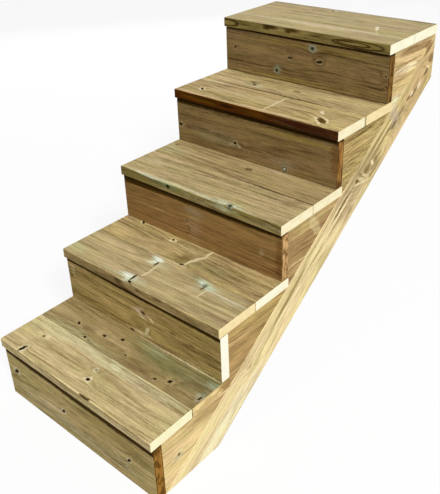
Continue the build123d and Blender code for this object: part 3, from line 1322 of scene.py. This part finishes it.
BLOCK_FINISHES: dict[int, Finish] = {}
BLOCK_FINISHES[1] = wood(
    Tone((76, 58, 27.5), 0.48), Growth(20, 60, 6, 30, 20, 12, 31), TAN_END,
    Knot(-74, 6, 3, SHADE, 1.3),
    Stain(-74, 5, 40, 34, (86, 76, 46), 0.75, 2, 0.8), Stain(60, 66, 190, 44, (50, 33.5, 15), 0.75),
    Stain(-20, 84, 220, 12, (36, 22, 8), 0.6), Stain(-110, 60, 60, 50, (66, 49, 22), 0.5),
)
BLOCK_FINISHES[2] = wood(
    Tone((44, 29, 11.5), 0.6), Growth(0, 60, 6, 10, 20, 12, 32), TAN_END,
    Stain(0, 76, 300, 26, (53, 37.5, 14.5), 0.85), Stain(0, 46, 300, 26, (55, 38.5, 16), 0.75),
    Stain(0, 60, 300, 5, (34, 22, 7), 0.6, 1), Stain(-50, -14, 60, 6, (28, 17, 6), 0.6),
    Stain(-90, -60, 90, 50, (52, 36, 16), 0.5),
)
BLOCK_FINISHES[3] = wood(
    Tone((38, 24, 10.5), 0.66), Growth(-20, 60, 6, 10, 20, 12, 33), TAN_END,
    Stain(0, 78, 300, 38, (51, 37, 16), 0.9),
    Stain(-4, 50, 100, 34, (60, 46, 23), 0.9, 0.7, 0.3, turn=-56),
    Stain(-84, -30, 100, 6, (66, 52, 27), 0.8, 0.8, 0.4),
    Stain(-70, -52, 110, 34, (50, 35, 16), 0.6), Stain(-70, 54, 100, 6, (62, 46, 20), 0.7),
)
BLOCK_FINISHES[4] = wood(
    Tone((44, 32, 12.5), 1.1), Growth(90, 30, 6.5, 60, 20, 18, 34), TAN_END,
    Stain(60, 50, 180, 50, (50, 37.5, 16.5), 0.5),
    Stain(-60, -2, 130, 7, (66, 51, 24), 0.7, 1, turn=-8),
    Stain(-70, -22, 110, 6, (62, 48, 22), 0.6, 1, turn=-14),
    Stain(-64, -12, 120, 5, (28, 19, 6), 0.7, 1, turn=-12),
    Stain(-40, 16, 150, 6, (30, 21, 7), 0.7, 1, turn=-12),
)
BLOCK_FINISHES[5] = wood(
    Tone((68, 50, 24), 0.75), Growth(40, 60, 6, -10, 20, 12, 35), TAN_END,
    Stain(0, 84, 300, 16, (44, 31, 14), 0.7), Stain(20, 70, 300, 18, (32, 20, 8), 0.8, 1.8),
    Stain(-20, 40, 190, 6, (34, 23, 8), 0.85, 1.2),
    Stain(-45, 22, 160, 26, (93, 78, 46), 0.95, 0.8, 0.4),
    Stain(-20, 6, 190, 5, (42, 28, 11), 0.8, 1), Stain(-104, -64, 60, 40, (80, 74, 48), 0.8),
    Stain(80, 64, 40, 22, (26, 14, 5), 0.7),
)

PLANK_FINISH = wood(
    Tone((82, 66, 35), 0.5), Growth(-14, 62, 5.6, 6, 26, 12, 21), CREAM_END,
    Knot(232, 20, 4.4, SHADE, 2.2, -50), Knot(250, 4, 5, SPIKE, 3.4, -60),
    Knot(270, -4, 4, SPIKE, 4, -60),
    Swell(230, 4, 110, 70, 22), Swell(330, -20, 120, 60, -18), Swell(480, 0, 120, 80, 16),
    Swell(620, 6, 130, 70, -16), Swell(730, 10, 90, 60, 16), Swell(-392, 16, 70, 50, 12),
    Stain(600, 0, 660, 190, (62, 46.5, 21.2), 0.9), Stain(660, 16, 200, 70, (62, 43, 22.5), 0.5),
    Stain(240, 10, 340, 110, (42.5, 32.5, 16.3), 0.8), Stain(-600, -30, 460, 64, (92, 82, 50), 0.8),
    Stain(-640, 10, 230, 8, (62, 51, 27), 0.8, turn=-4),
    Stain(-392, 16, 15, 9, (46, 35, 15), 0.85, 0.8, 0.7),
    Stain(-380, -2, 14, 8, (56, 45, 22), 0.7, 0.8, 0.7, turn=-60),
    Stain(-170, 21, 230, 17, (38, 29, 11), 0.95, 0.8, 0.3, turn=3),
    Stain(-50, 6, 140, 9, (38, 29, 11), 0.95, 0.8, 0.3),
    Stain(-180, 4, 300, 9, (92, 78, 45), 0.9, 0.8, 0.4),
    Stain(-20, 24, 130, 8, (92, 78, 45), 0.9, 0.8, 0.4),
    Stain(60, 40, 300, 6, (36, 26, 10), 0.8, 1), Stain(130, 31, 240, 6, (80, 65, 36), 0.8, 1),
    Stain(142, 23, 120, 10, (20, 13, 3.5), 0.95, 0.8, 0.3),
    Stain(120, 11, 190, 9, (92, 78, 45), 0.95, 0.8, 0.3),
    Stain(90, 0, 140, 8, (38, 28, 11), 0.9, 0.8, 0.4),
    Stain(262, 2, 110, 34, (30, 21.5, 8.5), 0.8, 3),
    Stain(246, -8, 90, 10, (88, 73, 41), 0.9, 2, turn=-40),
    Stain(330, -26, 70, 50, (33, 21, 10), 0.7, 3, 0.9),
    Stain(290, 4, 26, 22, (26, 18, 7), 0.8, 2.4, 0.8),
    Stain(268, 0, 10, 26, (90, 77, 46), 0.95, 0.9, 0.5, turn=20),
    Stain(318, -2, 13, 26, (92, 78, 47), 0.95, 1.2, 0.6, turn=8),
    Stain(336, -8, 20, 28, (28, 18, 8), 0.75, 2, 0.8),
    Stain(400, 34, 320, 8, (27, 19, 6.5), 0.85, 1.4),
    Stain(400, 12, 200, 10, (27, 19, 6.5), 0.85, 1.4),
    Stain(420, 22, 200, 7, (80, 65, 37), 0.8, 1.4), Stain(478, 14, 60, 76, (48, 38, 27), 0.8, 2.4),
    Stain(464, -3, 30, 14, (22, 15, 7), 0.9, 1.8), Stain(478, -27, 28, 14, (74, 62, 45), 0.9, 1.4),
    Stain(516, 2, 40, 10, (26, 19, 7.5), 0.75, 2.4), Stain(560, 4, 28, 12, (20, 14, 5), 0.95, 1.4),
    Stain(584, 1, 20, 11, (94, 82, 54), 1, 0.9, 0.4), Stain(602, -9, 42, 9, (20, 14, 5), 0.95, 1.4),
    Stain(633, -13, 36, 11, (94, 82, 54), 1, 0.9, 0.4),
    Stain(680, -8, 30, 13, (21, 14.5, 5), 0.95, 1.4),
    Stain(520, 54, 110, 14, (80, 68, 40), 0.8, 2.4), Stain(722, 8, 34, 28, (24, 15, 6), 0.85, 2.4),
    Stain(726, 54, 60, 22, (26, 16, 6.5), 0.85, 3),
    Stain(700, -6, 32, 8, (88, 70, 42), 0.9, 1.4, turn=-50),
)


# ---------------------------------------------------------------- the sub-assemblies


@dataclass
class Step:
    """One step: its two tread boards and the riser under its front edge."""

    number: int  # counted from 1 at the bottom
    joint_arris: float = 1.2  # rounding along the joint between the boards, in millimetres
    dings: tuple[Ding, ...] = ()  # missing wood along the front edge
    pieces: list[bpy.types.Object] = field(default_factory=list)

    def build(self) -> None:
        """Makes the two boards and the riser and puts them on the stairs."""
        joint = self.joint_arris
        arrises = {FRONT: (joint, ARRIS, ARRIS, joint), BACK: (ARRIS, joint, joint, ARRIS)}
        dings = {FRONT: self.dings, BACK: ()}
        for row in Row:
            node = f"tread_{self.number}_{row.value}_board"
            place = place_in_box(node, Vector((1, 0, 0)), Vector((0, 1, 0)))
            finish = TREAD_FINISHES[self.number, row]
            piece = timber_piece(node, place, finish, arrises[row], dings[row])
            self.pieces.append(piece)
        node = f"riser_{self.number}"
        place = place_in_box(node, Vector((1, 0, 0)), Vector((0, 0, 1)))
        self.pieces.append(timber_piece(node, place, RISER_FINISHES[self.number]))


class Side(Enum):
    """A side of the flight, as seen from its foot."""

    LEFT = "left"
    RIGHT = "right"


@dataclass
class Stringer:
    """One side's sloping plank and the triangular blocks on it."""

    side: Side
    plank_width: float = 0.117  # square to its slope, in metres
    pieces: list[bpy.types.Object] = field(default_factory=list)

    LEFT_SEED: ClassVar[int] = 20

    def build(self) -> None:
        """Makes the plank and finishes the blocks."""
        self._plank()
        for step in STEPS:
            self._block(step)

    def _plank(self) -> None:
        """The sloping plank, level at its foot and plumb at its head."""
        node = f"{self.side.value}_stringer_plank"
        low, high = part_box(node)
        slope = Vector((0.0, high.y - low.y, high.z - low.z))
        along = slope.normalized()
        across = Vector((0.0, -along.z, along.y))
        middle = (low + high) / 2 - across * self.plank_width / 2
        size = (slope.length, self.plank_width, high.x - low.x)
        steepness = math.tan(math.atan2(slope.z, slope.y))
        place = Place(middle, along, across, size, -1.0 / steepness, steepness, self._outward)
        self.pieces.append(timber_piece(node, place, self._sided(PLANK_FINISH)))

    def _block(self, step: int) -> None:
        """The finish of one step block, whose grain lies level.

        Args:
            step: the step that the block carries.
        """
        node = f"{self.side.value}_step_block_{step}"
        square = place_in_box(node, Vector((0, 1, 0)), Vector((0, 0, 1)))
        place = replace(square, outward=self._outward)
        wood_grain = TimberShader(f"{node}_wood", self._sided(BLOCK_FINISHES[step]), place)
        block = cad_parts[node]
        block.material_slots[0].link = "OBJECT"
        block.material_slots[0].material = wood_grain.build()
        self.pieces.append(block)

    @property
    def _outward(self) -> float:
        """The sign of X on the side that faces out."""
        return 1.0 if self.side is Side.RIGHT else -1.0

    def _sided(self, finish: Finish) -> Finish:
        """A finish turned to this side.

        Args:
            finish: the finish that both sides share.

        Returns:
            The finish with the right side's heart turned away, or with the left side's own seed.
        """
        growth = finish.growth
        if self.side is Side.RIGHT:
            return replace(finish, growth=replace(growth, pith_through=-growth.pith_through))
        return replace(finish, growth=replace(growth, seed=growth.seed + self.LEFT_SEED))


def place_in_box(node: str, along: Vector, across: Vector) -> Place:
    """The place of a square-cut piece that fills its node's box.

    Args:
        node: the CAD node's name.
        along: the direction of its grain.
        across: the direction across its face.

    Returns:
        The place.
    """
    low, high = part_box(node)
    axes = (along, across, along.cross(across))
    size = tuple(abs((high - low).dot(axis)) for axis in axes)
    return Place((low + high) / 2, along, across, size)


def timber_piece(
    node: str,
    place: Place,
    finish: Finish,
    arrises: Sequence[float] = (ARRIS,) * 4,
    dings: Sequence[Ding] = (),
) -> bpy.types.Object:
    """A finished board that stands for its CAD node.

    Args:
        node: the CAD node's name.
        place: where the piece lies.
        finish: its look.
        arrises: rounding of its long edges in millimetres, from the far upper one round.
        dings: missing wood along its near upper edge.

    Returns:
        The new object.
    """
    seed = round(finish.growth.seed * SHAPE_SEED_STEP)
    piece = EasedTimber(f"{node}_timber", place, seed, arrises, dings).build()
    piece.data.materials.append(TimberShader(f"{node}_wood", finish, place).build())
    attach(piece, "root")
    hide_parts(node)
    return piece


# ---------------------------------------------------------------- studio


@dataclass(frozen=True)
class Softbox:
    """A square lamp that faces the middle of the stairs from an offset in metres."""

    name: str
    offset: tuple[float, float, float]
    size: float
    power: float


@dataclass
class Studio:
    """The pale floor, the soft lamps and the camera; lengths in metres and angles in degrees."""

    floor_size: float = 60.0
    floor_drop: float = mm(0.4)
    floor_glow: float = 0.9
    floor_colour: Colour = (85, 85, 85)
    floor_bounce: Colour = (16, 16, 15)
    sky_colour: Colour = (100, 99, 97)
    sky: float = 0.19
    softboxes: tuple[Softbox, ...] = (
        Softbox("right_softbox", (8.25, -4.12, 7.30), 1.8, 1610.0),
        Softbox("back_softbox", (-3.0, 2.4, 1.4), 3.0, 60.0),
    )
    view_azimuth: float = 42.59
    view_elevation: float = 28.46
    view_roll: float = -2.45
    camera_place: tuple[float, float, float] = (1.230, -2.0652, 0.5643)
    lens: float = 50.6
    shift: tuple[float, float] = (0.0152, -0.0796)
    nearest: float = 0.05

    SEEN_RAYS: ClassVar[tuple[str, ...]] = ("Is Camera Ray", "Is Glossy Ray", "Is Transmission Ray")

    def build(self) -> None:
        """Sets up the view transform, the floor, the lamps, the world and the camera."""
        bpy.context.scene.view_settings.view_transform = "Standard"
        self._floor()
        self._world()
        for softbox in self.softboxes:
            self._lamp(softbox)
        self._camera()

    @staticmethod
    def _seen(shader: Shader) -> Link:
        """1 for rays from the camera and those that gloss or glass sends on, and 0 for the rest."""
        kinds = [shader.node("ShaderNodeLightPath", output=ray) for ray in Studio.SEEN_RAYS]
        return shader.math("MINIMUM", sum(kinds), 1.0)

    @staticmethod
    def _glow(shader: Shader, kind: str, colour: Colour, strength: float) -> Link:
        """An even glow: an emission or a background."""
        inputs = {"Color": (*shares(colour), 1.0), "Strength": strength}
        return shader.node(kind, {}, inputs)

    def _floor(self) -> None:
        """A pale floor at the foot of the stairs that keeps a soft shadow."""
        half = self.floor_size / 2
        corners = np.array([(-half, -half), (half, -half), (half, half), (-half, half)])
        ground = np.full((4, 1), CAD_BOX[0].z - self.floor_drop)
        floor = new_object("floor", np.hstack([corners, ground]), np.array([[0, 1, 2, 3]]))
        shader = Shader("pale_floor")
        seen = self._seen(shader)
        paint = shader.mix(seen, self.floor_bounce, self.floor_colour)
        lit = shader.node("ShaderNodeBsdfDiffuse", {}, {"Color": paint})
        glow = self._glow(shader, "ShaderNodeEmission", WHITE, 1.0)
        parts = {0: seen * self.floor_glow, 1: lit, 2: glow}
        shader.finish(shader.node("ShaderNodeMixShader", {}, parts))
        floor.data.materials.append(shader.material)

    def _world(self) -> None:
        """A soft even sky that the camera sees as white."""
        world = bpy.data.worlds.new("studio")
        bpy.context.scene.world = world
        shader = Shader("studio_sky", world)
        sky = self._glow(shader, "ShaderNodeBackground", self.sky_colour, self.sky)
        white = self._glow(shader, "ShaderNodeBackground", WHITE, 1.0)
        parts = {0: self._seen(shader), 1: sky, 2: white}
        shader.finish(shader.node("ShaderNodeMixShader", {}, parts))

    @staticmethod
    def _lamp(softbox: Softbox) -> None:
        """One softbox as an area lamp.

        Args:
            softbox: the lamp's size, power and place.
        """
        light = bpy.data.lights.new(softbox.name, "AREA")
        light.size = softbox.size
        light.energy = softbox.power
        lamp = bpy.data.objects.new(softbox.name, light)
        offset = Vector(softbox.offset)
        lamp.location = (CAD_BOX[0] + CAD_BOX[1]) / 2 + offset
        lamp.rotation_euler = offset.to_track_quat("Z", "Y").to_euler()
        bpy.context.scene.collection.objects.link(lamp)

    def _camera(self) -> None:
        """The camera, above the lower right corner of the flight and looking up it."""
        azimuth, elevation = math.radians(self.view_azimuth), math.radians(self.view_elevation)
        level = Vector((-math.sin(azimuth), math.cos(azimuth), 0.0))
        forward = level * math.cos(elevation) - Vector((0.0, 0.0, math.sin(elevation)))
        data = bpy.data.cameras.new("camera")
        data.lens = self.lens
        data.shift_x, data.shift_y = self.shift
        data.clip_start = self.nearest
        camera = bpy.data.objects.new("camera", data)
        camera.location = self.camera_place
        roll = Matrix.Rotation(math.radians(self.view_roll), 3, "Z")
        camera.rotation_euler = (forward.to_track_quat("-Z", "Y").to_matrix() @ roll).to_euler()
        bpy.context.scene.collection.objects.link(camera)
        bpy.context.scene.camera = camera


def main() -> None:
    """Builds every step, both stringers and the studio."""
    logging.basicConfig(level=logging.INFO, format="%(name)s: %(message)s")
    parts = [
        Step(1, dings=(Ding(66, 5.0, 34), Ding(-140, 1.2, 60))),
        Step(2),
        Step(3, 2.0, (Ding(-92, 3.0, 20), Ding(133, 2.5, 40))),
        Step(4, 2.2),
        Step(5),
        Stringer(Side.LEFT),
        Stringer(Side.RIGHT),
    ]
    for part in parts:
        part.build()
        for piece in part.pieces:
            log.info("%s: %d faces", piece.name, len(piece.data.polygons))
    Studio().build()


if __name__ == "__main__":
    main()
